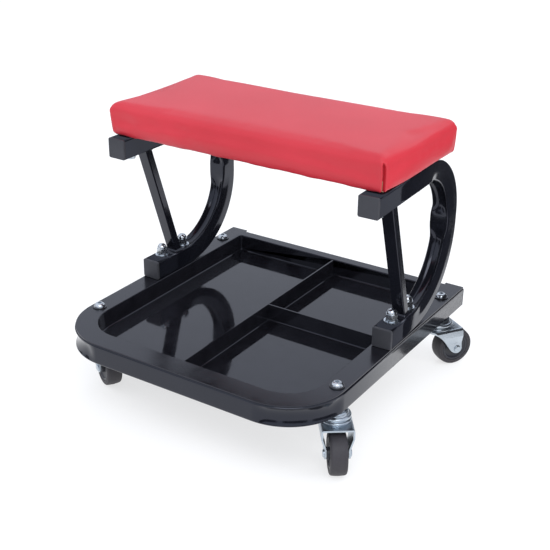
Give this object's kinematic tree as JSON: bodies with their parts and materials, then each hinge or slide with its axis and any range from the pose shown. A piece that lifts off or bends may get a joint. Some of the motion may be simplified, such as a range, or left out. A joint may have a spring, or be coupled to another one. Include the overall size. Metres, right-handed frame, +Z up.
{
  "type": "creeper seat",
  "caption": "Low rolling workshop seat with a padded vinyl top on C-shaped arms, over a divided tool tray on swivel casters.",
  "frame": {"origin": "on the floor, under the middle of the base", "axes": "+X to the right along the seat, +Y to the back, +Z up"},
  "size_m": [0.4092, 0.385, 0.342],
  "materials": {
    "black_paint": "gloss",
    "tray_plastic": "gloss",
    "cap_plastic": "matte",
    "red_vinyl": "satin",
    "foam": "matte",
    "board": "matte",
    "black_cloth": "matte",
    "zinc_sheet": "satin",
    "zinc_hardware": "satin",
    "nickel": "polished",
    "dark_steel": "satin",
    "bearing_steel": "polished",
    "hub_plastic": "satin",
    "tyre": "matte"
  },
  "bodies": {
    "frame": {"base_tube": "black_paint", "brace_welds": "black_paint", "caster_lock_nuts": "zinc_hardware", "caster_pivot_bushes": "bearing_steel", "caster_screw_washers": "dark_steel", "caster_screws": "nickel", "frame_bolt_washers": "zinc_hardware", "frame_bolts": "zinc_hardware", "frame_dome_nuts": "nickel", "frame_flat_washers": "zinc_hardware", "frame_spring_washers": "zinc_hardware", "front_left_race_cup": "zinc_sheet", "front_right_race_cup": "zinc_sheet", "left_arm_lower_tube": "black_paint", "left_arm_upper_tube": "black_paint", "left_base_cap": "cap_plastic", "left_brace": "black_paint", "left_lower_cap": "cap_plastic", "left_upper_cap": "cap_plastic", "rear_left_race_cup": "zinc_sheet", "rear_right_race_cup": "zinc_sheet", "right_arm_lower_tube": "black_paint", "right_arm_upper_tube": "black_paint", "right_base_cap": "cap_plastic", "right_brace": "black_paint", "right_lower_cap": "cap_plastic", "right_upper_cap": "cap_plastic", "seat_board": "board", "seat_bolt_washers": "zinc_hardware", "seat_bolts": "zinc_hardware", "seat_cover": "red_vinyl", "seat_foam": "foam", "seat_lining": "black_cloth", "seat_staples": "zinc_hardware", "seat_tee_nuts": "zinc_hardware", "tool_tray": "tray_plastic"},
    "front_left_swivel": {"front_left_axle": "zinc_sheet", "front_left_axle_sleeve": "bearing_steel", "front_left_fork": "zinc_sheet"},
    "front_left_balls": {"front_left_ball_ring": "bearing_steel"},
    "front_left_wheel": {"front_left_wheel_hub": "hub_plastic", "front_left_wheel_tyre": "tyre"},
    "front_right_swivel": {"front_right_axle": "zinc_sheet", "front_right_axle_sleeve": "bearing_steel", "front_right_fork": "zinc_sheet"},
    "front_right_balls": {"front_right_ball_ring": "bearing_steel"},
    "front_right_wheel": {"front_right_wheel_hub": "hub_plastic", "front_right_wheel_tyre": "tyre"},
    "rear_left_swivel": {"rear_left_axle": "zinc_sheet", "rear_left_axle_sleeve": "bearing_steel", "rear_left_fork": "zinc_sheet"},
    "rear_left_balls": {"rear_left_ball_ring": "bearing_steel"},
    "rear_left_wheel": {"rear_left_wheel_hub": "hub_plastic", "rear_left_wheel_tyre": "tyre"},
    "rear_right_swivel": {"rear_right_axle": "zinc_sheet", "rear_right_axle_sleeve": "bearing_steel", "rear_right_fork": "zinc_sheet"},
    "rear_right_balls": {"rear_right_ball_ring": "bearing_steel"},
    "rear_right_wheel": {"rear_right_wheel_hub": "hub_plastic", "rear_right_wheel_tyre": "tyre"}
  },
  "joints": [
    {"name": "front_right_turn", "type": "hinge", "parent": "frame", "child": "front_right_swivel", "pos_m": [0.17, -0.115, 0.058], "axis": [0, 0, 1], "continuous": true},
    {"name": "front_right_roll", "type": "hinge", "parent": "front_right_swivel", "child": "front_right_wheel", "pos_m": [0.18318, -0.13262, 0.025], "axis": [0.8007, 0.599, 0], "continuous": true},
    {"name": "front_right_race", "type": "hinge", "parent": "frame", "child": "front_right_balls", "pos_m": [0.17, -0.115, 0.0607], "axis": [0, 0, 1], "continuous": true},
    {"name": "front_left_turn", "type": "hinge", "parent": "frame", "child": "front_left_swivel", "pos_m": [-0.17, -0.115, 0.058], "axis": [0, 0, 1], "continuous": true},
    {"name": "front_left_roll", "type": "hinge", "parent": "front_left_swivel", "child": "front_left_wheel", "pos_m": [-0.15089, -0.1259, 0.025], "axis": [0.4955, 0.8686, 0], "continuous": true},
    {"name": "front_left_race", "type": "hinge", "parent": "frame", "child": "front_left_balls", "pos_m": [-0.17, -0.115, 0.0607], "axis": [0, 0, 1], "continuous": true},
    {"name": "rear_right_turn", "type": "hinge", "parent": "frame", "child": "rear_right_swivel", "pos_m": [0.17, 0.149, 0.058], "axis": [0, 0, 1], "continuous": true},
    {"name": "rear_right_roll", "type": "hinge", "parent": "rear_right_swivel", "child": "rear_right_wheel", "pos_m": [0.18205, 0.16741, 0.025], "axis": [-0.8368, 0.5476, 0], "continuous": true},
    {"name": "rear_right_race", "type": "hinge", "parent": "frame", "child": "rear_right_balls", "pos_m": [0.17, 0.149, 0.0607], "axis": [0, 0, 1], "continuous": true},
    {"name": "rear_left_turn", "type": "hinge", "parent": "frame", "child": "rear_left_swivel", "pos_m": [-0.17, 0.149, 0.058], "axis": [0, 0, 1], "continuous": true},
    {"name": "rear_left_roll", "type": "hinge", "parent": "rear_left_swivel", "child": "rear_left_wheel", "pos_m": [-0.18318, 0.13138, 0.025], "axis": [0.8007, -0.599, 0], "continuous": true},
    {"name": "rear_left_race", "type": "hinge", "parent": "frame", "child": "rear_left_balls", "pos_m": [-0.17, 0.149, 0.0607], "axis": [0, 0, 1], "continuous": true}
  ],
  "couplings": [
    {"joint": "front_right_race", "follows": "front_right_turn", "ratio": 0.5},
    {"joint": "front_left_race", "follows": "front_left_turn", "ratio": 0.5},
    {"joint": "rear_right_race", "follows": "rear_right_turn", "ratio": 0.5},
    {"joint": "rear_left_race", "follows": "rear_left_turn", "ratio": 0.5}
  ]
}
